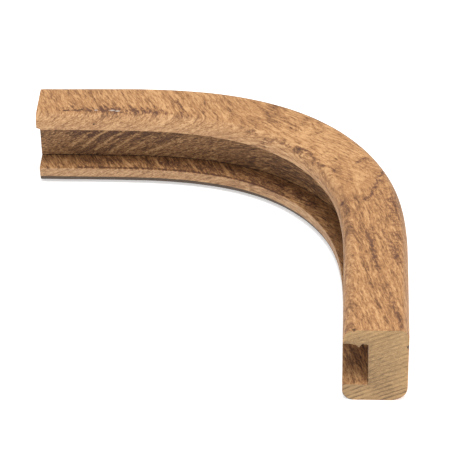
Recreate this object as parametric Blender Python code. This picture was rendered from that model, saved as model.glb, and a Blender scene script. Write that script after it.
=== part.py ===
"""Corner moulding: a grooved wooden edge strip that turns a right angle in one solid piece.

The moulding lies on its underside. Leg A runs along X and ends at the left, leg B runs along Y and
ends at the front, and the groove that takes the edge of a board opens to the inside of the corner.
Lengths are in metres, +Z is up, and the origin is under the middle of the whole piece.
"""
import math

import bmesh
import bpy
import numpy as np
from mathutils import Matrix

# Section across the moulding
WIDTH_AT_BEND = 0.0250          # inner face to outer face in the middle of the bend
WIDTH_AT_END_A = 0.0227         # the outer side is planed thinner towards both ends
WIDTH_AT_END_B = 0.0246
LOWER_LIP = 0.0079              # thickness under the groove
UPPER_LIP = 0.0069              # thickness over the groove
BOARD_THICKNESS = 0.0190        # board whose edge the groove takes
BOARD_PLAY = 0.0007             # room for the board between the two lips
GROOVE_DEPTH = 0.0096           # inner face to the groove's back wall

# Rounding of the four long edges
INNER_TOP_RADIUS = 0.0048
OUTER_TOP_RADIUS = 0.0034
INNER_BOTTOM_RADIUS = 0.0045
OUTER_BOTTOM_RADIUS = 0.0063
LARGEST_ROUNDING = 0.9          # share of a wall that its rounded edge may take

# Plan, along the middle of the section
BEND_ANGLE = math.radians(90.0)
BEND_RADIUS = 0.0778            # of the middle stretch, the tightest
STRAIGHT_A = 0.0223             # straight stretch of leg A, from its end
EASE_A = 0.0798                 # stretch over which leg A takes up the bend's radius
EASE_B = 0.0512                 # the same on leg B, where the bend comes in faster
STRAIGHT_B = 0.0399             # straight stretch of leg B, to its end

# Facets
STATION_STEP = 0.0040           # greatest length of a facet along the bend
ARC_FACETS = 6                  # facets on each rounded edge

# Wood
WOOD_COLOUR = (0.42, 0.235, 0.115, 1.0)
WOOD_ROUGHNESS = 0.62

GROOVE_HEIGHT = BOARD_THICKNESS + BOARD_PLAY
SECTION_HEIGHT = LOWER_LIP + GROOVE_HEIGHT + UPPER_LIP
NARROWEST = min(WIDTH_AT_END_A, WIDTH_AT_BEND, WIDTH_AT_END_B)
ARC_LENGTH = BEND_RADIUS * BEND_ANGLE - (EASE_A + EASE_B) / 2
LENGTH = STRAIGHT_A + EASE_A + ARC_LENGTH + EASE_B + STRAIGHT_B


def clear_scene():
    """Remove every object of the open scene."""
    for obj in list(bpy.data.objects):
        bpy.data.objects.remove(obj, do_unlink=True)


def rounded(radius, *walls):
    """The radius of a rounded edge, kept smaller than the walls that it is cut from."""
    return min(radius, LARGEST_ROUNDING * min(walls))


def quarter(centre_u, centre_v, radius, start_degrees):
    """Points of a quarter circle in the section, a quarter turn on from its starting angle."""
    angles = np.radians(np.linspace(start_degrees, start_degrees + 90.0, ARC_FACETS + 1))
    return [(centre_u + radius * math.cos(a), centre_v + radius * math.sin(a)) for a in angles]


def section():
    """Outline of the section: u from the inner face outwards, v up from the underside."""
    back_wall = NARROWEST - GROOVE_DEPTH
    inner_bottom = rounded(INNER_BOTTOM_RADIUS, LOWER_LIP, GROOVE_DEPTH)
    inner_top = rounded(INNER_TOP_RADIUS, UPPER_LIP, GROOVE_DEPTH)
    outer_bottom = rounded(OUTER_BOTTOM_RADIUS, back_wall, SECTION_HEIGHT / 2)
    outer_top = rounded(OUTER_TOP_RADIUS, back_wall, SECTION_HEIGHT / 2)
    roof = LOWER_LIP + GROOVE_HEIGHT
    outline = quarter(inner_bottom, inner_bottom, inner_bottom, 180.0)
    outline += quarter(WIDTH_AT_BEND - outer_bottom, outer_bottom, outer_bottom, 270.0)
    outline += quarter(WIDTH_AT_BEND - outer_top, SECTION_HEIGHT - outer_top, outer_top, 0.0)
    outline += quarter(inner_top, SECTION_HEIGHT - inner_top, inner_top, 90.0)
    outline += [(0.0, roof), (GROOVE_DEPTH, roof), (GROOVE_DEPTH, LOWER_LIP), (0.0, LOWER_LIP)]
    return outline


def heading(length):
    """Angle turned after each length of the middle line: easing in, a true arc, easing out."""
    ease_in = np.clip(length - STRAIGHT_A, 0.0, EASE_A)
    arc = np.clip(length - STRAIGHT_A - EASE_A, 0.0, ARC_LENGTH)
    ease_out = np.clip(length - STRAIGHT_A - EASE_A - ARC_LENGTH, 0.0, EASE_B)
    turned = ease_in ** 2 / (2 * EASE_A) + arc + ease_out - ease_out ** 2 / (2 * EASE_B)
    return turned / BEND_RADIUS


def stations():
    """Lengths along the middle line where the facets meet; the straight stretches need none."""
    marks = [0.0, STRAIGHT_A]
    for stretch in (EASE_A, ARC_LENGTH, EASE_B):
        count = math.ceil(stretch / STATION_STEP)
        marks += [marks[-1] + stretch * (i + 1) / count if i + 1 < count else marks[-1] + stretch
                  for i in range(count)]
    return np.array(marks + [LENGTH])


def middle_line(marks):
    """Plan position of each station, adding up the way between them."""
    nodes, weights = np.polynomial.legendre.leggauss(4)
    half = np.diff(marks)[:, None] / 2
    turned = heading(marks[:-1, None] + half * (1 + nodes))
    step_x = (half * np.cos(turned) * weights).sum(axis=1)
    step_y = (-half * np.sin(turned) * weights).sum(axis=1)
    return np.concatenate([[0.0], np.cumsum(step_x)]), np.concatenate([[0.0], np.cumsum(step_y)])


def width_at(length):
    """Width of the section after a length of the middle line."""
    return float(np.interp(length, [0.0, LENGTH / 2, LENGTH],
                           [WIDTH_AT_END_A, WIDTH_AT_BEND, WIDTH_AT_END_B]))


def straight_stock(marks):
    """The moulding before it is bent: its section pushed along X from station to station."""
    bm = bmesh.new()
    end_face = bm.faces.new([bm.verts.new((0.0, u, v)) for u, v in section()])
    left_inside = []
    for step in np.diff(marks):
        pushed = bmesh.ops.extrude_face_region(bm, geom=[end_face])["geom"]
        end_face = next(item for item in pushed if isinstance(item, bmesh.types.BMFace))
        moved = [item for item in pushed if isinstance(item, bmesh.types.BMVert)]
        bmesh.ops.translate(bm, verts=moved, vec=(float(step), 0.0, 0.0))
        left_inside.append(end_face)
    bmesh.ops.delete(bm, geom=left_inside[:-1], context="FACES_ONLY")
    return bm


def bend(bm, marks):
    """Carry every point of the straight stock to its place along the bent middle line."""
    plan_x, plan_y = middle_line(marks)
    turned = heading(marks)
    middle = WIDTH_AT_BEND / 2
    for vert in bm.verts:
        length, across, height = vert.co
        i = int(np.abs(marks - length).argmin())
        if across > middle:
            across += width_at(marks[i]) - WIDTH_AT_BEND
        offset = across - middle
        vert.co = (plan_x[i] + offset * math.sin(turned[i]), plan_y[i] + offset * math.cos(turned[i]), height)


def centre_on_origin(bm):
    """Set the middle of the piece over the origin, with its underside at height nought."""
    points = np.array([vert.co for vert in bm.verts])
    low, high = points.min(axis=0), points.max(axis=0)
    shift = (-(low[0] + high[0]) / 2, -(low[1] + high[1]) / 2, -low[2])
    bm.transform(Matrix.Translation(shift))


def wood():
    """Oiled hardwood."""
    material = bpy.data.materials.new("moulding_wood")
    material.use_nodes = True
    shader = material.node_tree.nodes["Principled BSDF"]
    shader.inputs["Base Color"].default_value = WOOD_COLOUR
    shader.inputs["Roughness"].default_value = WOOD_ROUGHNESS
    shader.inputs["Metallic"].default_value = 0.0
    return material


def corner_moulding(collection):
    """The one piece: sectioned, bent, centred and shaded."""
    marks = stations()
    bm = straight_stock(marks)
    bend(bm, marks)
    centre_on_origin(bm)
    bmesh.ops.recalc_face_normals(bm, faces=bm.faces[:])
    mesh = bpy.data.meshes.new("corner_moulding")
    bm.to_mesh(mesh)
    bm.free()
    mesh.materials.append(wood())
    mesh.shade_smooth()
    mesh.set_sharp_from_angle(angle=math.radians(35.0))
    piece = bpy.data.objects.new("corner_moulding", mesh)
    collection.objects.link(piece)
    return piece


def main():
    """Build the moulding in a collection of its own."""
    clear_scene()
    collection = bpy.data.collections.new("Corner moulding")
    bpy.context.scene.collection.children.link(collection)
    corner_moulding(collection)


main()
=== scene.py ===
"""Finish of a corner moulding: a grooved hardwood edge strip that turns a right angle in one piece.

The wood is modelled as straight stock, cut, rubbed, chipped and splintered there, and then bent to its plan.
Its grain is a solid pattern of growth layers, so it runs on from face to face as sawn wood does.
Lengths are in metres, except where a name ends in _mm.
"""
import logging
import math
from dataclasses import dataclass
from enum import Enum
from typing import Iterable, Sequence

import bmesh
import bpy
import numpy as np
from mathutils import Matrix, Vector, noise


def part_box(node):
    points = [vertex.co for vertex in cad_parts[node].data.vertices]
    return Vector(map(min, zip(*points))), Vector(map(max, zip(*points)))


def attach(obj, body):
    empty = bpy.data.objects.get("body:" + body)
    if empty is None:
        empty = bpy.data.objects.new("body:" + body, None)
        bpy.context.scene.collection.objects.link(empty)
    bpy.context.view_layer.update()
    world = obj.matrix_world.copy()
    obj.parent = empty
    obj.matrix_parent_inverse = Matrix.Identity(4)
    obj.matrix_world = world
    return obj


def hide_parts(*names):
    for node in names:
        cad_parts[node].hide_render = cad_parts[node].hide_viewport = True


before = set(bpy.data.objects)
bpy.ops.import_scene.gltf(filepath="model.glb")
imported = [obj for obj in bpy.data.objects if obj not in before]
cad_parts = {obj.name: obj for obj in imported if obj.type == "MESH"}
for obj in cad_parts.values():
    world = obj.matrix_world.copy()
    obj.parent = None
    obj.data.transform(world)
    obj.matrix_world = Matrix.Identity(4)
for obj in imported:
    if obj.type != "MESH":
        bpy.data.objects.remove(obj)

MM = 0.001
TINY = 0.02 * MM
NODE = "corner_moulding"
LOG = logging.getLogger("moulding")

Point2 = tuple[float, float]
Point3 = tuple[float, float, float]
Colour = tuple[float, float, float]
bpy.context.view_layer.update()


class Wire:
    """A shader value that takes part in Python sums and products."""

    def __init__(self, bench: "Bench", socket: bpy.types.NodeSocket) -> None:
        """Hold an output socket and the bench that adds nodes."""
        self.bench = bench
        self.socket = socket

    def _with(self, operation: str, first: object, second: object) -> "Wire":
        """One Math node on two values."""
        return self.bench.math(operation, first, second)

    def __add__(self, other: object) -> "Wire":
        """Sum."""
        return self._with("ADD", self, other)

    __radd__ = __add__

    def __sub__(self, other: object) -> "Wire":
        """Difference."""
        return self._with("SUBTRACT", self, other)

    def __rsub__(self, other: object) -> "Wire":
        """Difference from a plain number."""
        return self._with("SUBTRACT", other, self)

    def __mul__(self, other: object) -> "Wire":
        """Product."""
        return self._with("MULTIPLY", self, other)

    __rmul__ = __mul__

    def __truediv__(self, other: object) -> "Wire":
        """Quotient."""
        return self._with("DIVIDE", self, other)

    def __pow__(self, other: object) -> "Wire":
        """Power."""
        return self._with("POWER", self, other)


class Bench:
    """Adds nodes to one material."""

    def __init__(self, material: bpy.types.Material) -> None:
        """Start on a material's node tree."""
        self.tree = material.node_tree

    def node(self, kind: str, settings: dict | None = None, inputs: dict | None = None) -> bpy.types.Node:
        """Add any node.

        Args:
            kind: the node's type, such as ShaderNodeMath.
            settings: its properties, set before its sockets.
            inputs: socket name or number to a value, a Wire or a socket.

        Returns:
            The node.
        """
        node = self.tree.nodes.new(kind)
        for name, value in (settings or {}).items():
            setattr(node, name, value)
        for key, value in (inputs or {}).items():
            source = value.socket if isinstance(value, Wire) else value
            if isinstance(source, bpy.types.NodeSocket):
                self.tree.links.new(source, node.inputs[key])
            else:
                node.inputs[key].default_value = source
        return node

    def math(self, operation: str, *values: object) -> Wire:
        """A Math node's result."""
        node = self.node("ShaderNodeMath", {"operation": operation}, dict(enumerate(values)))
        return Wire(self, node.outputs[0])

    def vector(self, operation: str, first: object, second: object, output: str = "Vector") -> Wire:
        """A Vector Math node's result."""
        node = self.node("ShaderNodeVectorMath", {"operation": operation}, {0: first, 1: second})
        return Wire(self, node.outputs[output])

    def scaled(self, vector: Wire, factor: object) -> Wire:
        """A vector times a number."""
        node = self.node("ShaderNodeVectorMath", {"operation": "SCALE"}, {"Vector": vector, "Scale": factor})
        return Wire(self, node.outputs["Vector"])

    def step(self, value: Wire, low: float, high: float) -> Wire:
        """A smooth rise from 0 at low to 1 at high; a fall where low is the larger."""
        node = self.node("ShaderNodeMapRange", {"interpolation_type": "SMOOTHSTEP"},
                         {"Value": value, "From Min": low, "From Max": high})
        return Wire(self, node.outputs["Result"])

    def noise(self, place: Wire, scale: float, detail: float = 2.0, roughness: float = 0.5) -> bpy.types.Node:
        """A Noise node on a place."""
        return self.node("ShaderNodeTexNoise", {"noise_dimensions": "3D"},
                         {"Vector": place, "Scale": scale, "Detail": detail, "Roughness": roughness})

    def noise_value(self, place: Wire, scale: float, detail: float = 2.0, roughness: float = 0.5) -> Wire:
        """Noise as a number about 0.5."""
        return Wire(self, self.noise(place, scale, detail, roughness).outputs[0])

    def noise_shift(self, place: Wire, scale: float, reach: object, detail: float = 2.0) -> Wire:
        """Noise as a shift of a place, up to about a quarter of its reach each way."""
        colour = Wire(self, self.noise(place, scale, detail).outputs[1])
        return self.scaled(self.vector("SUBTRACT", colour, (0.5, 0.5, 0.5)), reach)

    def attribute(self, name: str) -> Wire:
        """A number stored on the mesh."""
        node = self.node("ShaderNodeAttribute", {"attribute_name": name, "attribute_type": "GEOMETRY"})
        return Wire(self, node.outputs["Fac"])

    def blend(self, share: object, first: object, second: object, kind: str = "MIX") -> Wire:
        """Mix two colours.

        Args:
            share: how much of the second colour there is, from 0 to 1.
            first: a Wire or a plain colour.
            second: a Wire or a plain colour.
            kind: the Mix node's blend type.

        Returns:
            The mixed colour.
        """
        node = self.node("ShaderNodeMix", {"data_type": "RGBA", "blend_type": kind, "clamp_factor": True},
                         {"Factor": share})
        sockets = [s for s in node.inputs if s.type == "RGBA"]
        for socket, value in zip(sockets, (first, second)):
            if isinstance(value, Wire):
                self.tree.links.new(value.socket, socket)
            else:
                socket.default_value = (*value, 1.0)
        return Wire(self, next(s for s in node.outputs if s.type == "RGBA"))

    def ramp(self, value: Wire, stops: Sequence[tuple[float, Colour]]) -> Wire:
        """Turn a number into a colour.

        Args:
            value: the number, from 0 to 1.
            stops: positions in rising order, each with its colour.

        Returns:
            The colour.
        """
        node = self.node("ShaderNodeValToRGB", {}, {"Fac": value})
        elements = node.color_ramp.elements
        while len(elements) < len(stops):
            elements.new(0.5)
        for element, (position, colour) in zip(elements, stops):
            element.position = position
            element.color = (*colour, 1.0)
        return Wire(self, node.outputs["Color"])


class Blemish(Enum):
    """What a small spot of the surface is."""

    CHECK = "dark open check"
    FILLER = "pale filler"


@dataclass(frozen=True)
class Spot:
    """A small oval blemish, placed in the piece's own millimetres."""

    kind: Blemish
    centre_mm: Point3
    half_size_mm: Point3


@dataclass(frozen=True)
class Lay:
    """How the wood lies: square to its growth layers, and along its fibres."""

    layer_normal: Point3
    fibre: Point3

    def axes(self) -> tuple[Point3, Point3, Point3]:
        """Square up the two directions.

        Returns:
            Unit directions along the fibres, across them in a layer, and through the layers.
        """
        fibre = Vector(self.fibre).normalized()
        normal = Vector(self.layer_normal).normalized()
        return tuple(fibre), tuple(normal.cross(fibre)), tuple(normal)


@dataclass(frozen=True)
class Strengths:
    """How far each part of the grain pattern lightens or darkens the wood, and how far it stands up or sinks.
    """

    ground: float = 0.71
    band: float = 0.48
    cloud: float = 0.22
    grit: float = 0.26
    patch: float = 0.05
    patch_in_bend: float = 0.20
    line: float = 0.12
    pore: float = 0.18
    strand: float = 1.8
    calm_end: float = 0.45
    calm_leg_b: float = 0.12
    calm_edge_b: float = 0.35
    groove: float = 0.20
    groove_band: float = 0.20
    groove_strand: float = 0.9
    end: float = 0.14
    end_line: float = 0.12
    end_low: float = 0.07
    end_low_line: float = 0.30
    raised_strand: float = 0.55
    sunk_pore: float = 0.60
    sunk_line: float = 0.25
    sunk_check: float = 1.6


@dataclass(frozen=True)
class Hardwood:
    """Open-pored golden brown hardwood, cut through nearly flat growth layers.

    A pair in millimetres is a pattern's wander in the legs, and what the bend adds to it.
    """

    lay_leg_a: Lay = Lay((1.0, 0.50, -2.1), (1.0, -2.0, 0.0))
    lay_bend: Lay = Lay((0.65, 0.86, -2.1), (1.0, -0.75, 0.0))
    lay_leg_b: Lay = Lay((1.0, 0.25, -2.1), (1.0, -4.0, 0.0))
    layer_mm: float = 1.8
    layers_below: float = 200.0
    broad_wander_mm: Point2 = (5.0, 11.0)
    local_wander_mm: Point2 = (0.9, 2.6)
    strengths: Strengths = Strengths()
    roughness: float = 0.62
    roughness_spread: float = 0.10
    specular: float = 0.3
    bump_strength: float = 0.75
    bump_depth: float = 0.16 * MM
    deep: Colour = (0.070, 0.030, 0.015)
    brown: Colour = (0.205, 0.095, 0.040)
    gold: Colour = (0.43, 0.212, 0.085)
    pale: Colour = (0.64, 0.365, 0.165)
    # Colour of the dark streaks; it also carries the painted shade in the kerf, on the upper lip and deep in
    # the groove's floor.
    streaks_and_painted_shade: Colour = (0.17, 0.074, 0.044)
    filler: Colour = (0.50, 0.44, 0.39)
    check: Colour = (0.045, 0.022, 0.014)
    groove_tint: Colour = (0.75, 0.78, 0.80)
    lip_tint: Colour = (0.94, 1.01, 1.14)
    sill_tint: Colour = (0.86, 0.88, 0.92)
    grey_rim: Colour = (0.22, 0.175, 0.15)
    # Painted shade: a near-black band on the lower inner rounding stands for the contact shadow under the
    # piece.
    painted_contact_shadow: Colour = (0.042, 0.027, 0.017)
    contact_shadow_heights_mm: Point2 = (3.95, 3.55)
    end_deep: Colour = (0.20, 0.122, 0.06)
    end_brown: Colour = (0.36, 0.23, 0.105)
    end_tan: Colour = (0.61, 0.39, 0.18)
    spots: tuple[Spot, ...] = ()

    def material(self, name: str) -> bpy.types.Material:
        """Make the wood.

        Args:
            name: the material's name.

        Returns:
            The material.
        """
        material = bpy.data.materials.new(name)
        material.use_nodes = True
        bench = Bench(material)
        shader = material.node_tree.nodes["Principled BSDF"]
        place = self._place(bench)
        layers = self._layers(bench, place)
        line = self._layer_line(bench, layers, place)
        pores = self._pores(bench, place)
        strands = self._strands(bench, place)
        in_groove = bench.attribute("in_groove")
        end_grain = bench.attribute("end_grain")
        # The streaks include painted shade in the kerf, on the upper lip and in the groove's floor at end B,
        # and painted light at that floor's open end.
        streaks_and_painted_shade = self._streaks_and_painted_light(bench, place, line) * (1.0 - end_grain)
        tone = self._tone(bench, place, layers, line, pores, strands, in_groove, end_grain) - streaks_and_painted_shade
        colour = bench.ramp(tone, [(0.0, self.deep), (0.34, self.brown), (0.66, self.gold), (1.0, self.pale)])
        colour = bench.blend(bench.step(streaks_and_painted_shade, 0.05, 0.45) * 0.55, colour, self.streaks_and_painted_shade)
        colour = self._tinted(bench, colour, place, in_groove, end_grain, tone)
        colour, open_check = self._spotted(bench, colour, place)
        bench.tree.links.new(colour.socket, shader.inputs["Base Color"])
        rough = self.roughness + self.roughness_spread * pores - self.roughness_spread * (tone - 0.5)
        bench.tree.links.new(rough.socket, shader.inputs["Roughness"])
        shader.inputs["Specular IOR Level"].default_value = self.specular
        by = self.strengths
        height = (by.raised_strand * strands - by.sunk_pore * pores - by.sunk_line * line
                  - by.sunk_check * open_check)
        bump = bench.node("ShaderNodeBump", {}, {
            "Strength": self.bump_strength, "Distance": self.bump_depth, "Height": height})
        bench.tree.links.new(bump.outputs["Normal"], shader.inputs["Normal"])
        return material

    def _place(self, bench: Bench) -> Wire:
        """Read the place on the piece.

        Args:
            bench: where the nodes go.

        Returns:
            The piece's own place, in millimetres.
        """
        source = bench.node("ShaderNodeTexCoord")
        mapping = bench.node("ShaderNodeMapping", {}, {"Vector": source.outputs["Object"]})
        mapping.inputs["Scale"].default_value = (1.0 / MM, 1.0 / MM, 1.0 / MM)
        return Wire(bench, mapping.outputs["Vector"])

    def _height(self, bench: Bench, place: Wire) -> Wire:
        """The height above the underside, in millimetres."""
        return bench.vector("DOT_PRODUCT", place, (0.0, 0.0, 1.0), "Value")

    def _drawn_out(self, bench: Bench, place: Wire, lay: Lay, fibre_scale: float, side_scale: float) -> Wire:
        """The place measured along the fibres, across them in a layer, and through the layers.

        Args:
            bench: where the nodes go.
            place: the piece's own place, in millimetres.
            lay: how the wood lies.
            fibre_scale: how far the pattern is drawn out along the fibres, 1 for not at all.
            side_scale: the same across the fibres in a layer.

        Returns:
            The place to read a pattern at.
        """
        fibre, side, normal = lay.axes()
        wavy = bench.vector("ADD", place, bench.noise_shift(place, 0.07, 1.7))
        node = bench.node("ShaderNodeCombineXYZ", {}, {
            "X": bench.vector("DOT_PRODUCT", wavy, fibre, "Value") * fibre_scale,
            "Y": bench.vector("DOT_PRODUCT", wavy, side, "Value") * side_scale,
            "Z": bench.vector("DOT_PRODUCT", wavy, normal, "Value")})
        return Wire(bench, node.outputs["Vector"])

    def _layers(self, bench: Bench, place: Wire) -> Wire:
        """Count the growth layers through the wood.

        Args:
            bench: where the nodes go.
            place: the piece's own place, in millimetres.

        Returns:
            A number that rises by one a layer.
        """
        wild = bench.attribute("in_bend")
        broad = bench.noise_shift(place, 0.022, self.broad_wander_mm[0] + self.broad_wander_mm[1] * wild)
        local = bench.noise_shift(place, 0.13, self.local_wander_mm[0] + self.local_wander_mm[1] * wild, 3.0)
        wavy = bench.vector("ADD", bench.vector("ADD", place, broad), local)
        leg_a, leg_b = (bench.vector("DOT_PRODUCT", wavy, lay.axes()[2], "Value")
                        for lay in (self.lay_leg_a, self.lay_leg_b))
        across = leg_a + bench.attribute("in_leg_b") * (leg_b - leg_a)
        return across / self.layer_mm + self.layers_below

    def _layer_line(self, bench: Bench, layers: Wire, place: Wire) -> Wire:
        """Find the dark close wood at the end of each layer, broken up along its run.

        Args:
            bench: where the nodes go.
            layers: the growth layers, counted through the wood.
            place: the piece's own place, in millimetres.

        Returns:
            1 in the line and 0 outside it.
        """
        part = bench.math("FRACT", layers)
        edge = bench.step(part, 0.40, 0.90) * bench.step(part, 1.0, 0.92)
        broken = bench.step(bench.noise_value(place, 0.22, 3.0), 0.38, 0.62)
        return edge * (0.35 + 0.65 * broken)

    def _pores(self, bench: Bench, place: Wire) -> Wire:
        """Scatter short dark pores, drawn out along the fibres.

        Args:
            bench: where the nodes go.
            place: the piece's own place, in millimetres.

        Returns:
            1 in a pore and 0 outside it.
        """
        along = self._drawn_out(bench, place, self.lay_leg_a, 0.13, 0.5)
        cells = bench.node("ShaderNodeTexVoronoi", {"feature": "F1"}, {"Vector": along, "Scale": 2.9})
        near = bench.step(Wire(bench, cells.outputs["Distance"]), 0.46, 0.16)
        chosen = bench.step(bench.noise_value(along, 1.3, 2.0), 0.40, 0.56)
        return near * chosen

    def _strands(self, bench: Bench, place: Wire) -> Wire:
        """Draw fine strands along the fibres, lying over in the bend and steeper in leg B.

        Args:
            bench: where the nodes go.
            place: the piece's own place, in millimetres.

        Returns:
            Light above 0 and dark below.
        """
        leg_a, bend, leg_b = (self._strands_of(bench, place, lay)
                              for lay in (self.lay_leg_a, self.lay_bend, self.lay_leg_b))
        legs = leg_a + bench.attribute("in_leg_b") * (leg_b - leg_a)
        return legs + bench.attribute("in_bend") * (bend - legs)

    def _strands_of(self, bench: Bench, place: Wire, lay: Lay) -> Wire:
        """Draw the strands of wood that lies one way.

        Args:
            bench: where the nodes go.
            place: the piece's own place, in millimetres.
            lay: how the wood lies.

        Returns:
            Light above 0 and dark below.
        """
        fine = bench.noise_value(self._drawn_out(bench, place, lay, 0.07, 0.20), 2.7, 3.0, 0.80) - 0.5
        bright = bench.noise_value(self._drawn_out(bench, place, lay, 0.12, 0.30), 2.1, 2.0, 0.7)
        return fine + 0.15 * bench.step(bright, 0.53, 0.66)

    def _streaks_and_painted_light(self, bench: Bench, place: Wire, line: Wire) -> Wire:
        """Break up the marked streaks, with the painted light and shade among them.

        Args:
            bench: where the nodes go.
            place: the piece's own place, in millimetres.
            line: the dark line of each growth layer.

        Returns:
            How dark the wood is along its streaks; pale streaks are below 0.
        """
        figure_and_painted_light = bench.attribute("figure_and_painted_light")
        broken = bench.step(bench.noise_value(place, 0.8, 3.0, 0.65), 0.42, 0.58)
        return figure_and_painted_light * (0.25 + 1.1 * broken + 0.5 * line)

    def _patches(self, bench: Bench, place: Wire) -> Wire:
        """Lay out ragged patches of lighter and darker grain.

        Args:
            bench: where the nodes go.
            place: the piece's own place, in millimetres.

        Returns:
            Light above 0 and dark below.
        """
        ragged = bench.vector("ADD", place, bench.noise_shift(place, 0.35, 6.0, 4.0))
        cells = bench.node("ShaderNodeTexVoronoi", {"feature": "F1"}, {"Vector": ragged, "Scale": 0.085})
        return bench.vector("DOT_PRODUCT", cells.outputs["Color"], (1.0, 0.0, 0.0), "Value") - 0.5

    def _tone(self, bench: Bench, place: Wire, layers: Wire, line: Wire, pores: Wire, strands: Wire,
              in_groove: Wire, end_grain: Wire) -> Wire:
        """Add up the light and dark of the wood.

        Args:
            bench: where the nodes go.
            place: the piece's own place, in millimetres.
            layers: the growth layers, counted through the wood.
            line: the dark line of each layer.
            pores: the pores.
            strands: the fine strands.
            in_groove: 1 in the groove and 0 outside it.
            end_grain: 1 on a sawn end and 0 elsewhere.

        Returns:
            The tone, from 0 for dark to 1 for light.
        """
        each = bench.node("ShaderNodeTexNoise", {"noise_dimensions": "1D"},
                          {"W": layers, "Scale": 0.9, "Detail": 4.0, "Roughness": 0.6})
        group = bench.node("ShaderNodeTexNoise", {"noise_dimensions": "1D"},
                           {"W": layers, "Scale": 0.31, "Detail": 1.0})
        band = Wire(bench, each.outputs[0]) + 0.7 * Wire(bench, group.outputs[0]) - 0.85
        cloud = bench.noise_value(place, 0.14, 3.0) - 0.5
        grit = bench.noise_value(place, 2.4, 2.0, 0.7) - 0.5
        wild = bench.attribute("in_bend")
        by = self.strengths
        tone = by.ground + by.band * band + by.cloud * cloud + by.grit * grit
        tone = tone + (by.patch + by.patch_in_bend * wild) * self._patches(bench, place)
        leg_b_calm = by.calm_leg_b + by.calm_edge_b * bench.attribute("inner_edge")
        calm = by.calm_end * end_grain + bench.attribute("in_leg_b") * leg_b_calm
        tone = tone - by.line * line - by.pore * pores + by.strand * strands * (1.0 - calm)
        dark_band = bench.step(band + 0.25 * cloud, -0.03, 0.09)
        tone = tone - in_groove * (by.groove + by.groove_band * dark_band - by.groove_strand * strands)
        low = bench.step(self._height(bench, place), 17.0, 3.0)
        return tone - end_grain * (by.end + by.end_line * line + low * (by.end_low + by.end_low_line * line))

    def _tinted(self, bench: Bench, colour: Wire, place: Wire, in_groove: Wire, end_grain: Wire,
                tone: Wire) -> Wire:
        """Tint the groove, the lips, the grey outer rim and the sawn ends, and paint a contact shadow on the
        lower inner edge.

        Args:
            bench: where the nodes go.
            colour: the wood's colour so far.
            place: the piece's own place, in millimetres.
            in_groove: 1 in the groove and 0 outside it.
            end_grain: 1 on a sawn end and 0 elsewhere.
            tone: the light and dark of the wood.

        Returns:
            The tinted colour.
        """
        colour = bench.blend(in_groove, colour, self.groove_tint, "MULTIPLY")
        colour = bench.blend(bench.attribute("inner_edge"), colour, self.lip_tint, "MULTIPLY")
        colour = bench.blend(bench.attribute("sill"), colour, self.sill_tint, "MULTIPLY")
        # Greyer along the outer top edge, fading towards leg B.
        colour = bench.blend(bench.attribute("outer_edge") * 0.44, colour, self.grey_rim)
        # Painted shade: the lower inner rounding is darkened up to about 4 mm high, as the contact shadow
        # where the piece meets the floor.
        painted_contact_shadow = bench.attribute("contact_shadow_edge") * bench.step(self._height(bench, place), *self.contact_shadow_heights_mm)
        colour = bench.blend(painted_contact_shadow * 0.94, colour, self.painted_contact_shadow)
        grey = bench.ramp(tone, [(0.0, self.end_deep), (0.42, self.end_brown), (0.95, self.end_tan)])
        return bench.blend(end_grain * 0.80, colour, grey)

    def _spotted(self, bench: Bench, colour: Wire, place: Wire) -> tuple[Wire, Wire]:
        """Lay the small blemishes over the wood.

        Args:
            bench: where the nodes go.
            colour: the wood's colour so far.
            place: the piece's own place, in millimetres.

        Returns:
            The colour with its blemishes, and 1 where it is an open check.
        """
        ragged = bench.vector("ADD", place, bench.noise_shift(place, 2.6, 0.9))
        open_check = bench.math("ADD", 0.0, 0.0)
        for spot in self.spots:
            away = bench.vector("SUBTRACT", ragged, spot.centre_mm)
            ratio = bench.vector("DIVIDE", away, spot.half_size_mm)
            length = bench.node("ShaderNodeVectorMath", {"operation": "LENGTH"}, {0: ratio})
            inside = bench.step(Wire(bench, length.outputs["Value"]), 1.15, 0.65)
            if spot.kind is Blemish.CHECK:
                colour = bench.blend(inside * 0.9, colour, self.check)
                open_check = bench.math("MAXIMUM", open_check, inside)
            else:
                colour = bench.blend(inside * 0.85, colour, self.filler)
        return colour, open_check


@dataclass(frozen=True)
class Plan:
    """The middle line of the moulding: straight, easing in, a true arc, easing out, straight."""

    bend: float = math.radians(90.0)
    radius: float = 77.8 * MM
    straight_a: float = 22.3 * MM
    ease_a: float = 79.8 * MM
    ease_b: float = 51.2 * MM
    straight_b: float = 39.9 * MM

    @property
    def arc(self) -> float:
        """Length of the true arc."""
        return self.radius * self.bend - (self.ease_a + self.ease_b) / 2

    @property
    def length(self) -> float:
        """Length of the whole middle line."""
        return self.straight_a + self.ease_a + self.arc + self.ease_b + self.straight_b

    def heading(self, length: np.ndarray) -> np.ndarray:
        """Work out how far the moulding has turned.

        Args:
            length: lengths along the middle line.

        Returns:
            The angle turned after each length.
        """
        ease_in = np.clip(length - self.straight_a, 0.0, self.ease_a)
        arc = np.clip(length - self.straight_a - self.ease_a, 0.0, self.arc)
        ease_out = np.clip(length - self.straight_a - self.ease_a - self.arc, 0.0, self.ease_b)
        turned = ease_in ** 2 / (2 * self.ease_a) + arc + ease_out - ease_out ** 2 / (2 * self.ease_b)
        return turned / self.radius

    def middle_line(self, marks: np.ndarray) -> np.ndarray:
        """Plan position of each station.

        Args:
            marks: lengths along the middle line.

        Returns:
            One x and y for each length.
        """
        nodes, weights = np.polynomial.legendre.leggauss(4)
        half = np.diff(marks)[:, None] / 2
        turned = self.heading(marks[:-1, None] + half * (1 + nodes))
        along_x = (half * np.cos(turned) * weights).sum(axis=1)
        along_y = (-half * np.sin(turned) * weights).sum(axis=1)
        steps = np.stack([along_x, along_y], 1)
        return np.concatenate([[[0.0, 0.0]], np.cumsum(steps, axis=0)])


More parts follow.
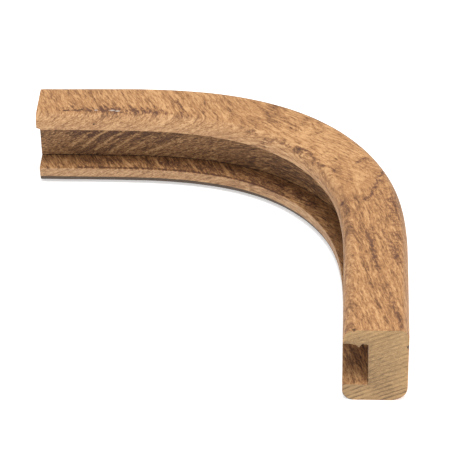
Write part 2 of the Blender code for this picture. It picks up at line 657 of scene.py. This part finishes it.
@dataclass(frozen=True)
class Section:
    """The moulding cut across: u from the inner face outwards, v up from the underside."""

    width: float = 25.0 * MM
    width_end_a: float = 22.7 * MM
    width_end_b: float = 24.6 * MM
    lower_lip: float = 7.9 * MM
    groove: float = 19.7 * MM
    upper_lip: float = 6.9 * MM
    depth: float = 9.6 * MM
    inner_top: float = 4.8 * MM
    outer_top: float = 3.4 * MM
    inner_bottom: float = 4.5 * MM
    outer_bottom: float = 6.3 * MM
    arris: float = 0.18 * MM
    kerf_height: float = 0.45 * MM
    kerf_depth: float = 0.60 * MM

    @property
    def roof(self) -> float:
        """Height of the groove's roof."""
        return self.lower_lip + self.groove

    @property
    def height(self) -> float:
        """Height of the whole section."""
        return self.roof + self.upper_lip

    def width_at(self, share: float) -> float:
        """Width after a share of the moulding's length."""
        return float(np.interp(share, [0.0, 0.5, 1.0], [self.width_end_a, self.width, self.width_end_b]))

    @staticmethod
    def turn(centre: Point2, radius: float, start: float, stop: float, facets: int) -> list[Point2]:
        """Points round part of a circle, from one angle in degrees to another."""
        angles = np.radians(np.linspace(start, stop, facets + 1))
        return [(centre[0] + radius * math.cos(a), centre[1] + radius * math.sin(a)) for a in angles]

    @staticmethod
    def run(start: Point2, stop: Point2, step: float) -> list[Point2]:
        """Divide a straight stretch.

        Args:
            start: its first end.
            stop: its last end.
            step: the distance between points, roughly.

        Returns:
            The points between its two ends.
        """
        count = max(1, round(math.dist(start, stop) / step))
        return [(start[0] + (stop[0] - start[0]) * i / count, start[1] + (stop[1] - start[1]) * i / count)
                for i in range(1, count)]

    def outline(self) -> list[Point2]:
        """Draw the section, with its arrises broken and the saw kerf at the root of the groove.

        Returns:
            The outline's points, in order.
        """
        w, h, d, a = self.width, self.height, self.depth, self.arris
        floor, roof = self.lower_lip, self.roof
        corners = [
            self.turn((self.inner_bottom, self.inner_bottom), self.inner_bottom, 180, 270, 9),
            self.turn((w - self.outer_bottom, self.outer_bottom), self.outer_bottom, 270, 360, 10),
            self.turn((w - self.outer_top, h - self.outer_top), self.outer_top, 0, 90, 9),
            self.turn((self.inner_top, h - self.inner_top), self.inner_top, 90, 180, 10),
            self.turn((a, roof + a), a, 180, 270, 3),
            [(d, roof)],
            [(d, floor + self.kerf_height)],
            [(d + self.kerf_depth, floor + self.kerf_height)],
            [(d + self.kerf_depth, floor)],
            self.turn((a, floor - a), a, 90, 180, 3),
        ]
        # How closely the straight stretch after each corner is divided.
        steps_mm = [1.3, 1.1, 0.60, 1.0, 0.30, 0.55, 0.3, 0.3, 0.55, 1.2]
        points: list[Point2] = []
        for corner, following, step_mm in zip(corners, corners[1:] + corners[:1], steps_mm):
            points += corner + self.run(corner[-1], following[0], step_mm * MM)
        return points


class Side(Enum):
    """A surface that carries streaks."""

    TOP = "upper side"
    WALL = "groove wall"
    FLOOR = "groove floor"


@dataclass(frozen=True)
class Streak:
    """A soft streak: dark where its strength is above nought, pale below.

    Its path is given along the stock and across it, or along it and up for the groove's wall.
    """

    path_mm: tuple[Point2, ...]
    half_width_mm: float
    strength: float
    side: Side = Side.TOP

    def weight(self, along: np.ndarray, across: np.ndarray) -> np.ndarray:
        """Measure the streak at some points.

        Args:
            along: lengths along the stock.
            across: distances across it, or up it for the groove's wall.

        Returns:
            Its strength at each point, fading to both sides of its path.
        """
        nearest = np.full(along.shape, np.inf)
        for (s0, u0), (s1, u1) in zip(self.path_mm, self.path_mm[1:]):
            run, rise = (s1 - s0) * MM, (u1 - u0) * MM
            share = ((along - s0 * MM) * run + (across - u0 * MM) * rise) / (run * run + rise * rise)
            share = np.clip(share, 0.0, 1.0)
            away = np.hypot(along - s0 * MM - share * run, across - u0 * MM - share * rise)
            nearest = np.minimum(nearest, away)
        return self.strength * np.exp(-(nearest / (self.half_width_mm * MM)) ** 2)


@dataclass(frozen=True)
class Hollow:
    """A small place where wood has broken out, measured along, across and up the stock."""

    centre_mm: Point3
    half_size_mm: Point3
    depth_mm: float


@dataclass(frozen=True)
class Tooth:
    """A splinter that hangs from the groove's roof at end B."""

    across_mm: float
    half_width_mm: float
    drop_mm: float
    reach_mm: float


def tick(number: int, at_mm: float) -> Streak:
    """A short dark tick that leans off the long check on leg A, each a little unlike the last."""
    tip = (at_mm - 1.5 - 0.35 * (number % 3), 6.6 + 0.7 * (number % 4))
    return Streak(((at_mm, 4.4), tip), 0.45, 0.20 + 0.06 * (number * 2 % 5))


TICKS_MM = (12.4, 14.9, 17.0, 19.9, 22.6, 25.2, 27.9, 30.2, 33.6, 35.8, 38.4, 41.1, 43.0, 45.9, 48.2,
            50.9, 54.6)

STREAKS = tuple(tick(number, at_mm) for number, at_mm in enumerate(TICKS_MM)) + (
    Streak(((11.0, 4.8), (29.0, 4.7)), 0.5, 0.20),
    Streak(((26.0, 4.9), (40.0, 4.6), (50.0, 4.2)), 2.0, 0.24),
    Streak(((166.0, 12.0), (262.0, 12.0)), 16.0, 0.07),
    Streak(((172.0, 1.0), (262.0, 1.0)), 3.0, 0.08),
    Streak(((148.0, 20.0), (176.0, 22.0)), 5.0, 0.10),
    Streak(((50.0, 4.2), (66.0, 3.6)), 1.4, 0.16),
    Streak(((28.5, 17.0), (33.8, 5.4)), 0.5, 0.22),
    Streak(((34.7, 20.0), (39.0, 7.4)), 0.5, 0.14),
    Streak(((45.0, 18.0), (50.0, 7.4)), 0.5, 0.15),
    Streak(((12.0, 19.6), (16.0, 8.8)), 0.5, 0.13),
    Streak(((58.1, 14.8), (60.5, 10.0), (62.4, 3.2)), 0.55, 0.30),
    Streak(((69.3, 17.1), (71.8, 4.4)), 0.8, 0.16),
    Streak(((79.3, 17.7), (83.7, 7.6)), 0.7, 0.18),
    Streak(((94.9, 17.4), (99.9, 13.4)), 0.9, 0.16),
    # Painted shade: this greyish streak along the upper lip's inner edge stands for a shadow on the lip.
    Streak(((103.0, 0.6), (112.0, 1.4), (125.5, 1.8)), 0.9, 0.20),
    Streak(((115.5, 19.7), (118.6, 9.1)), 1.8, -0.26),
    Streak(((119.0, 10.5), (122.5, 19.0)), 0.6, 0.24),
    Streak(((123.0, 3.6), (130.0, 4.1), (138.6, 2.2), (144.0, 5.0), (148.6, 5.4)), 0.6, 0.36),
    Streak(((131.0, 8.0), (140.0, 5.2)), 2.6, -0.22),
    Streak(((146.1, 15.4), (144.9, 18.6), (145.5, 21.7)), 0.6, 0.34),
    Streak(((154.8, 23.2), (158.4, 19.1), (160.6, 19.3), (163.6, 16.2), (166.0, 15.2), (170.4, 10.5)),
           0.7, 0.38),
    Streak(((156.0, 12.0), (163.0, 7.4)), 2.4, -0.22),
    Streak(((169.2, 1.8), (169.9, 1.9)), 0.55, 0.7),
    Streak(((172.3, 21.4), (211.7, 20.2)), 2.2, 0.15),
    Streak(((189.8, 9.1), (214.8, 13.6)), 0.8, 0.18),
    Streak(((188.6, 11.4), (209.8, 11.6)), 1.1, 0.12),
    Streak(((189.2, 15.1), (209.8, 21.4)), 0.6, 0.20),
    Streak(((223.5, 17.4), (236.0, 19.4), (248.5, 22.0)), 0.7, 0.26),
    Streak(((16.0, 22.0), (28.0, 19.5), (43.0, 22.0)), 5.5, 0.36, Side.WALL),
    Streak(((15.0, 10.5), (28.0, 11.0)), 3.0, 0.17, Side.WALL),
    Streak(((108.0, 18.0), (162.0, 18.0)), 9.0, 0.06, Side.WALL),
    Streak(((2.0, 12.0), (10.0, 15.0)), 5.0, -0.10, Side.WALL),
    Streak(((0.0, 9.2), (120.0, 9.2)), 1.6, -0.12, Side.WALL),
    Streak(((13.0, 13.0), (24.0, 22.6)), 0.5, -0.60, Side.WALL),
    Streak(((18.0, 12.6), (25.0, 18.6), (29.5, 21.5)), 0.5, -0.95, Side.WALL),
    Streak(((23.0, 11.0), (31.0, 17.6), (38.5, 22.6)), 0.5, -0.95, Side.WALL),
    Streak(((26.5, 12.0), (33.0, 16.6)), 0.4, -0.50, Side.WALL),
    Streak(((29.0, 9.6), (37.5, 16.6), (44.0, 21.0)), 0.5, -0.65, Side.WALL),
    Streak(((36.0, 10.0), (49.0, 18.6)), 0.5, -0.50, Side.WALL),
    Streak(((44.0, 10.0), (60.0, 17.0)), 0.5, -0.35, Side.WALL),
    Streak(((50.0, 16.0), (60.0, 21.0), (74.0, 25.0)), 0.8, 0.22, Side.WALL),
    Streak(((62.0, 15.0), (82.0, 20.0)), 6.0, -0.07, Side.WALL),
    Streak(((80.0, 9.6), (105.0, 12.0), (130.0, 12.0)), 2.4, 0.12, Side.WALL),
    Streak(((16.0, 1.2), (45.0, 1.1), (75.0, 0.8), (115.0, 0.8)), 0.5, 0.60, Side.FLOOR),
    Streak(((20.0, 6.0), (36.0, 6.0)), 2.6, 0.18, Side.FLOOR),
    Streak(((49.0, 5.6), (70.0, 5.0), (130.0, 5.0)), 3.6, 0.24, Side.FLOOR),
    # Painted light and shade on the groove's floor at end B: darker deeper in, under the roof's shadow, and
    # paler at the open end, where light falls in.
    Streak(((228.0, 5.0), (237.0, 5.0)), 3.5, 0.14, Side.FLOOR),
    Streak(((244.5, 5.0), (250.0, 5.0)), 3.6, -0.22, Side.FLOOR),
    Streak(((34.0, 8.6), (38.5, 2.4)), 0.45, -0.50, Side.FLOOR),
    Streak(((47.5, 8.6), (52.5, 2.0)), 0.55, -0.50, Side.FLOOR),
    Streak(((63.0, 8.6), (69.0, 2.0)), 0.50, -0.50, Side.FLOOR),
    Streak(((78.0, 8.6), (84.0, 2.0)), 0.55, -0.45, Side.FLOOR),
)

HOLLOWS = (
    Hollow((249.7, 4.2, 34.4), (0.55, 0.80, 1.2), 0.75),
    Hollow((249.7, 24.6, 26.4), (0.60, 1.0, 0.85), 0.55),
    Hollow((0.1, 0.2, 27.8), (1.5, 1.6, 1.3), 0.70),
    Hollow((13.0, 4.6, 34.5), (1.1, 0.35, 0.8), 0.30),
    Hollow((17.2, 5.2, 34.5), (1.4, 0.40, 0.8), 0.35),
)

TEETH = (
    Tooth(6.0, 1.3, 1.90, 1.0),
    Tooth(4.2, 1.3, 0.45, 0.6),
    Tooth(8.3, 0.8, 0.40, 0.6),
    Tooth(9.5, 0.7, 0.75, 0.8),
)

SPOTS = (
    Spot(Blemish.CHECK, (-64.4, 60.1, 34.5), (1.2, 0.28, 1.5)),
    Spot(Blemish.CHECK, (-61.2, 60.4, 34.5), (0.8, 0.22, 1.5)),
    Spot(Blemish.CHECK, (-58.4, 60.7, 34.5), (1.5, 0.30, 1.5)),
    Spot(Blemish.FILLER, (-51.6, 60.5, 34.5), (0.8, 0.40, 1.5)),
    Spot(Blemish.FILLER, (-44.9, 60.4, 34.5), (1.3, 0.50, 1.5)),
    Spot(Blemish.FILLER, (-42.6, 60.0, 34.5), (1.1, 0.40, 1.5)),
    Spot(Blemish.CHECK, (-41.2, 59.4, 34.5), (0.7, 0.30, 1.5)),
    Spot(Blemish.CHECK, (-52.4, 55.6, 30.6), (0.45, 0.6, 0.35)),
    Spot(Blemish.CHECK, (56.1, -78.4, 34.2), (0.80, 0.50, 0.6)),
    Spot(Blemish.CHECK, (53.6, -78.3, 33.9), (0.40, 0.40, 0.35)),
    Spot(Blemish.CHECK, (76.3, -78.6, 26.4), (0.7, 0.9, 0.9)),
)


@dataclass
class Moulding:
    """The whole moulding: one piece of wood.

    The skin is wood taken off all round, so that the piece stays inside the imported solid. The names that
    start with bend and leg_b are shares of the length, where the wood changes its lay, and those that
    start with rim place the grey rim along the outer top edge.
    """

    plan: Plan
    section: Section
    wood: Hardwood
    skin: float = 0.02 * MM
    unevenness: float = 0.10 * MM
    end_arris: float = 0.30 * MM
    crisp_share: float = 0.2
    kerf_run_out: float = 4.0 * MM
    station_step: float = 0.65 * MM
    end_step: float = 0.08 * MM
    end_growth: float = 1.25
    uneven_span_mm: Point3 = (9.0, 5.0, 5.0)
    # How dark the painted shade at the back of the kerf is.
    painted_kerf_shade: float = 0.75
    floor_shade: float = 0.55
    bend_from: float = 0.30
    bend_to: float = 0.68
    bend_fade: float = 0.09
    leg_b_from: float = 0.45
    leg_b_fade: float = 0.25
    contact_shadow_fade: float = 1.5 * MM
    rim_height: float = 1.2 * MM
    rim_fade: float = 1.8 * MM
    rim_from: float = 0.20
    rim_rise: float = 0.35
    rim_along_mm: Point3 = (0.0, 110.0, 150.0)
    rim_shares: Point3 = (1.0, 1.0, 0.45)

    def stations(self) -> np.ndarray:
        """Divide the length, closely at the two ends, where the wood is chipped, splintered and rubbed.

        Returns:
            The lengths where the facets meet.
        """
        ends = [self.skin]
        step = self.end_step
        while step < self.station_step:
            ends.append(ends[-1] + step)
            step *= self.end_growth
        near = np.array(ends)
        far = self.plan.length - near[::-1]
        count = math.ceil((far[0] - near[-1]) / self.station_step)
        return np.concatenate([near, np.linspace(near[-1], far[0], count + 1)[1:-1], far])

    def build(self) -> bpy.types.Object:
        """Model and dress the moulding.

        Returns:
            The finished piece, its place in its mesh.
        """
        marks = self.stations()
        bm = self._straight_stock(marks)
        self._work(bm)
        self._bend(bm, marks)
        # The faces point outwards from the straight stock on; worked out again, the chips could turn them.
        mesh = bpy.data.meshes.new("moulding")
        bm.to_mesh(mesh)
        bm.free()
        mesh.shade_smooth()
        mesh.set_sharp_from_angle(angle=math.radians(40.0))
        mesh.materials.append(self.wood.material("moulding_wood"))
        piece = bpy.data.objects.new("moulding", mesh)
        bpy.context.scene.collection.objects.link(piece)
        return piece

    def _straight_stock(self, marks: np.ndarray) -> bmesh.types.BMesh:
        """Push the section along X from station to station, and mark its two ends as end grain.

        Args:
            marks: the lengths of the stations.

        Returns:
            The straight stock, closed.
        """
        bm = bmesh.new()
        end_grain = bm.faces.layers.float.new("end_grain")
        start = bm.faces.new([bm.verts.new((marks[0], u, v)) for u, v in self.section.outline()])
        end_face = start
        left_inside = []
        for step in np.diff(marks):
            pushed = bmesh.ops.extrude_face_region(bm, geom=[end_face])["geom"]
            end_face = next(item for item in pushed if isinstance(item, bmesh.types.BMFace))
            moved = [item for item in pushed if isinstance(item, bmesh.types.BMVert)]
            bmesh.ops.translate(bm, verts=moved, vec=(float(step), 0.0, 0.0))
            left_inside.append(end_face)
        bmesh.ops.delete(bm, geom=left_inside[:-1], context="FACES_ONLY")
        for face in bm.faces:
            face[end_grain] = 0.0
        for face in (start, end_face):
            face[end_grain] = 1.0
        bmesh.ops.recalc_face_normals(bm, faces=bm.faces[:])
        return bm

    def _work(self, bm: bmesh.types.BMesh) -> None:
        """Wear, tear and mark the straight stock.

        Args:
            bm: the stock, changed in place.
        """
        bm.normal_update()
        places = np.array([vert.co for vert in bm.verts])
        normals = self._section_normals(bm)
        self._mark_surfaces(bm, places)
        moved = places - normals * self._loss(places, normals)[:, None]
        moved[:, 2] -= self._splinters(places)
        kerf = self._in_kerf(places)
        run_out = np.clip((self.plan.length - places[:, 0]) / self.kerf_run_out, 0.0, 1.0)
        moved[kerf, 1] = self.section.depth + self.section.kerf_depth * run_out[kerf]
        for vert, place in zip(bm.verts, moved):
            vert.co = place

    def _beside_groove(self, places: np.ndarray) -> np.ndarray:
        """Find the points on the groove's wall, roof and floor.

        Args:
            places: points of the straight stock.

        Returns:
            Whether each point is one of them.
        """
        section = self.section
        within = (places[:, 2] > section.lower_lip - TINY) & (places[:, 2] < section.roof + TINY)
        return within & (places[:, 1] < section.depth + section.kerf_depth + TINY)

    def _in_kerf(self, places: np.ndarray) -> np.ndarray:
        """Find the points at the bottom of the kerf.

        Args:
            places: points of the straight stock.

        Returns:
            Whether each point is one of them.
        """
        section = self.section
        beside = np.abs(places[:, 1] - section.depth - section.kerf_depth) < TINY
        middle = section.lower_lip + section.kerf_height / 2
        return beside & (np.abs(places[:, 2] - middle) < section.kerf_height)

    def _section_normals(self, bm: bmesh.types.BMesh) -> np.ndarray:
        """Point outwards across the stock, at its ends as along it.

        Args:
            bm: the straight stock.

        Returns:
            A unit direction for each point.
        """
        normals = np.array([vert.normal for vert in bm.verts])
        normals[:, 0] = 0.0
        return normals / np.linalg.norm(normals, axis=1, keepdims=True)

    def _loss(self, places: np.ndarray, normals: np.ndarray) -> np.ndarray:
        """Add up uneven sanding, rubbed end arrises and small hollows.

        Args:
            places: points of the straight stock.
            normals: their outward directions.

        Returns:
            How much wood is gone at each point.
        """
        span = self.uneven_span_mm
        rough = np.array([noise.noise(Vector((s / span[0], u / span[1], v / span[2])) / MM)
                          for s, u, v in places])
        uneven = self.skin + self.unevenness * (0.5 + 0.5 * rough)
        loss = np.where(normals[:, 2] < -0.99, self.skin, uneven)
        from_end = np.minimum(places[:, 0], self.plan.length - places[:, 0]) - self.skin
        left = np.clip(self.end_arris - from_end, 0.0, self.end_arris)
        crisp = np.where(self._beside_groove(places), self.crisp_share, 1.0)
        loss += crisp * (self.end_arris - np.sqrt(self.end_arris ** 2 - left ** 2))
        for hollow in HOLLOWS:
            ratio = (places / MM - np.array(hollow.centre_mm)) / np.array(hollow.half_size_mm)
            loss += hollow.depth_mm * MM * np.exp(-2.0 * (ratio ** 2).sum(axis=1) ** 1.5)
        return loss

    def _splinters(self, places: np.ndarray) -> np.ndarray:
        """Hang the splinters from the groove's roof at end B.

        Args:
            places: points of the straight stock.

        Returns:
            How far each point is pulled down.
        """
        drop = np.zeros(len(places))
        on_roof = np.abs(places[:, 2] - self.section.roof) < 0.05 * MM
        from_end = self.plan.length - places[:, 0]
        for tooth in TEETH:
            aside = np.abs(places[:, 1] / MM - tooth.across_mm) / tooth.half_width_mm
            across = np.clip(1.0 - aside, 0.0, 1.0)
            along = np.clip(1.0 - from_end / (tooth.reach_mm * MM), 0.0, 1.0)
            drop += tooth.drop_mm * MM * across * along ** 1.5
        return np.where(on_roof, drop, 0.0)

    def _mark_surfaces(self, bm: bmesh.types.BMesh, places: np.ndarray) -> None:
        """Store on each point what its finish depends on.

        Args:
            bm: the straight stock, given one attribute for each value.
            places: its points.
        """
        section = self.section
        along, across, up = places.T
        in_groove = self._beside_groove(places) & (across > 0.9 * section.arris)
        lip_face = np.clip(1.0 - across / section.inner_top, 0.0, 1.0)
        inner_edge = np.where(~in_groove & (across < section.inner_top), lip_face, 0.0)
        under_groove = up < section.lower_lip - TINY
        sill = np.where(under_groove, inner_edge, 0.0)
        round_the_edge = np.clip((across - section.width + section.outer_top) / section.outer_top, 0.0, 1.0)
        below = np.clip((section.height - self.rim_height - up) / self.rim_fade, 0.0, 1.0)
        fading = np.interp(along / MM, self.rim_along_mm, self.rim_shares)
        grey_rim = np.clip((round_the_edge - self.rim_from) / self.rim_rise, 0.0, 1.0)
        outer_edge = grey_rim * (1.0 - below) * fading
        upper = np.clip((up - section.roof) / section.upper_lip * 2.0, 0.0, 1.0)
        shares = {Side.TOP: upper * ~in_groove, Side.WALL: in_groove & (across > section.depth - TINY),
                  Side.FLOOR: in_groove & (up < section.lower_lip + TINY)}
        # Real grain streaks and painted light and shade are summed here; the kerf's painted shade is set just
        # below.
        figure_and_painted_light = sum(streak.weight(along, up if streak.side is Side.WALL else across) * shares[streak.side]
                     for streak in STREAKS)
        # Painted shade: the back of the saw kerf is darkened, standing for the shade inside the narrow slot.
        figure_and_painted_light = np.where(self._in_kerf(places), self.painted_kerf_shade, figure_and_painted_light)
        in_groove = in_groove * np.where(shares[Side.FLOOR], self.floor_shade, 1.0)
        share = along / self.plan.length
        in_bend = np.clip(np.minimum(share - self.bend_from, self.bend_to - share) / self.bend_fade, 0.0, 1.0)
        in_leg_b = np.clip((share - self.leg_b_from) / self.leg_b_fade, 0.0, 1.0)
        # Painted shade: marks the lower inner rounding under the groove for the painted contact shadow.
        contact_shadow_share = np.clip((section.inner_bottom - across) / self.contact_shadow_fade, 0.0, 1.0)
        contact_shadow_edge = np.where(under_groove, contact_shadow_share, 0.0)
        values = {
            "in_groove": in_groove, "inner_edge": inner_edge, "outer_edge": outer_edge, "figure_and_painted_light": figure_and_painted_light,
            "in_bend": in_bend, "in_leg_b": in_leg_b, "contact_shadow_edge": contact_shadow_edge, "sill": sill,
        }
        for name, numbers in values.items():
            layer = bm.verts.layers.float.new(name)
            for vert, number in zip(bm.verts, numbers):
                vert[layer] = float(number)

    def _bend(self, bm: bmesh.types.BMesh, marks: np.ndarray) -> None:
        """Carry the worked stock to its place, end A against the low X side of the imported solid.

        Args:
            bm: the stock, changed in place.
            marks: the lengths of its stations.
        """
        line = self.plan.middle_line(np.concatenate([[0.0], marks]))[1:]
        turned = self.plan.heading(marks)
        middle = self.section.width / 2
        for vert in bm.verts:
            length, across, height = vert.co
            i = int(np.abs(marks - length).argmin())
            if across > middle:
                across += self.section.width_at(marks[i] / self.plan.length) - self.section.width
            offset = across - middle
            sideways = (offset * math.sin(turned[i]), offset * math.cos(turned[i]))
            vert.co = (line[i, 0] + sideways[0], line[i, 1] + sideways[1], height)
        low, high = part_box(NODE)
        points = np.array([vert.co for vert in bm.verts])
        centre = (points.min(axis=0) + points.max(axis=0)) / 2
        shift = ((low[0] + high[0]) / 2 - centre[0], (low[1] + high[1]) / 2 - centre[1], low[2])
        bm.transform(Matrix.Translation(shift))


@dataclass(frozen=True)
class Viewpoint:
    """The camera, looking down on the moulding from the front."""

    look_at: Point3 = (0.00412, 0.00981, 0.01393)
    distance: float = 0.9201
    azimuth: float = math.radians(3.772)
    elevation: float = math.radians(37.503)
    roll: float = math.radians(-1.604)
    lens_mm: float = 182.8

    def place(self) -> None:
        """Create the camera and look through it."""
        back = Vector((math.sin(self.azimuth) * math.cos(self.elevation),
                       -math.cos(self.azimuth) * math.cos(self.elevation), math.sin(self.elevation)))
        right = Vector((math.cos(self.azimuth), math.sin(self.azimuth), 0.0))
        up = back.cross(right)
        turned_right = right * math.cos(self.roll) + up * math.sin(self.roll)
        turned_up = up * math.cos(self.roll) - right * math.sin(self.roll)
        data = bpy.data.cameras.new("camera")
        data.lens = self.lens_mm
        data.clip_end = 20.0
        camera = bpy.data.objects.new("camera", data)
        axes = Matrix((turned_right, turned_up, back)).transposed().to_4x4()
        camera.matrix_world = Matrix.Translation(Vector(self.look_at) + back * self.distance) @ axes
        bpy.context.scene.collection.objects.link(camera)
        bpy.context.scene.camera = camera


@dataclass(frozen=True)
class Studio:
    """A pale floor under soft white light."""

    floor_half: float = 3.0
    floor_colour: Colour = (0.95, 0.95, 0.95)
    floor_glow: float = 0.46
    sky: float = 0.72
    key_power: float = 15.5
    key_size: float = 0.5
    key_from: Point3 = (0.12, -0.36, 1.50)

    def build(self) -> None:
        """Lay the floor and set the light."""
        self._floor()
        self._sky()
        self._key()
        bpy.context.scene.view_settings.view_transform = "Standard"

    def _floor(self) -> None:
        """A large plain floor."""
        bm = bmesh.new()
        bmesh.ops.create_grid(bm, x_segments=1, y_segments=1, size=self.floor_half)
        mesh = bpy.data.meshes.new("floor")
        bm.to_mesh(mesh)
        bm.free()
        material = bpy.data.materials.new("floor_white")
        material.use_nodes = True
        shader = material.node_tree.nodes["Principled BSDF"]
        shader.inputs["Base Color"].default_value = (*self.floor_colour, 1.0)
        shader.inputs["Roughness"].default_value = 0.9
        shader.inputs["Specular IOR Level"].default_value = 0.1
        shader.inputs["Emission Color"].default_value = (1.0, 1.0, 1.0, 1.0)
        shader.inputs["Emission Strength"].default_value = self.floor_glow
        mesh.materials.append(material)
        floor = bpy.data.objects.new("floor", mesh)
        bpy.context.scene.collection.objects.link(floor)

    def _sky(self) -> None:
        """Even white light from all round."""
        world = bpy.data.worlds.new("studio")
        world.use_nodes = True
        background = world.node_tree.nodes["Background"]
        background.inputs["Color"].default_value = (1.0, 1.0, 1.0, 1.0)
        background.inputs["Strength"].default_value = self.sky
        bpy.context.scene.world = world

    def _key(self) -> None:
        """A large soft light, nearly overhead and a little to the front."""
        data = bpy.data.lights.new("key", "AREA")
        data.shape = "SQUARE"
        data.size = self.key_size
        data.energy = self.key_power
        key = bpy.data.objects.new("key", data)
        start = Vector(self.key_from)
        key.matrix_world = Matrix.Translation(start) @ (-start).to_track_quat("-Z", "Y").to_matrix().to_4x4()
        bpy.context.scene.collection.objects.link(key)


def write_sizes(pieces: Iterable[bpy.types.Object]) -> None:
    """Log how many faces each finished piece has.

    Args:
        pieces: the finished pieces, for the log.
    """
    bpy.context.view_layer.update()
    for piece in pieces:
        LOG.info("%s: %d faces", piece.name, len(piece.data.polygons))


def main() -> None:
    """Build the moulding, its studio and its camera."""
    logging.basicConfig(level=logging.INFO, format="%(name)s: %(message)s")
    moulding = Moulding(Plan(), Section(), Hardwood(spots=SPOTS)).build()
    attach(moulding, "root")
    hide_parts(NODE)
    Studio().build()
    Viewpoint().place()
    write_sizes([moulding])


if __name__ == "__main__":
    main()
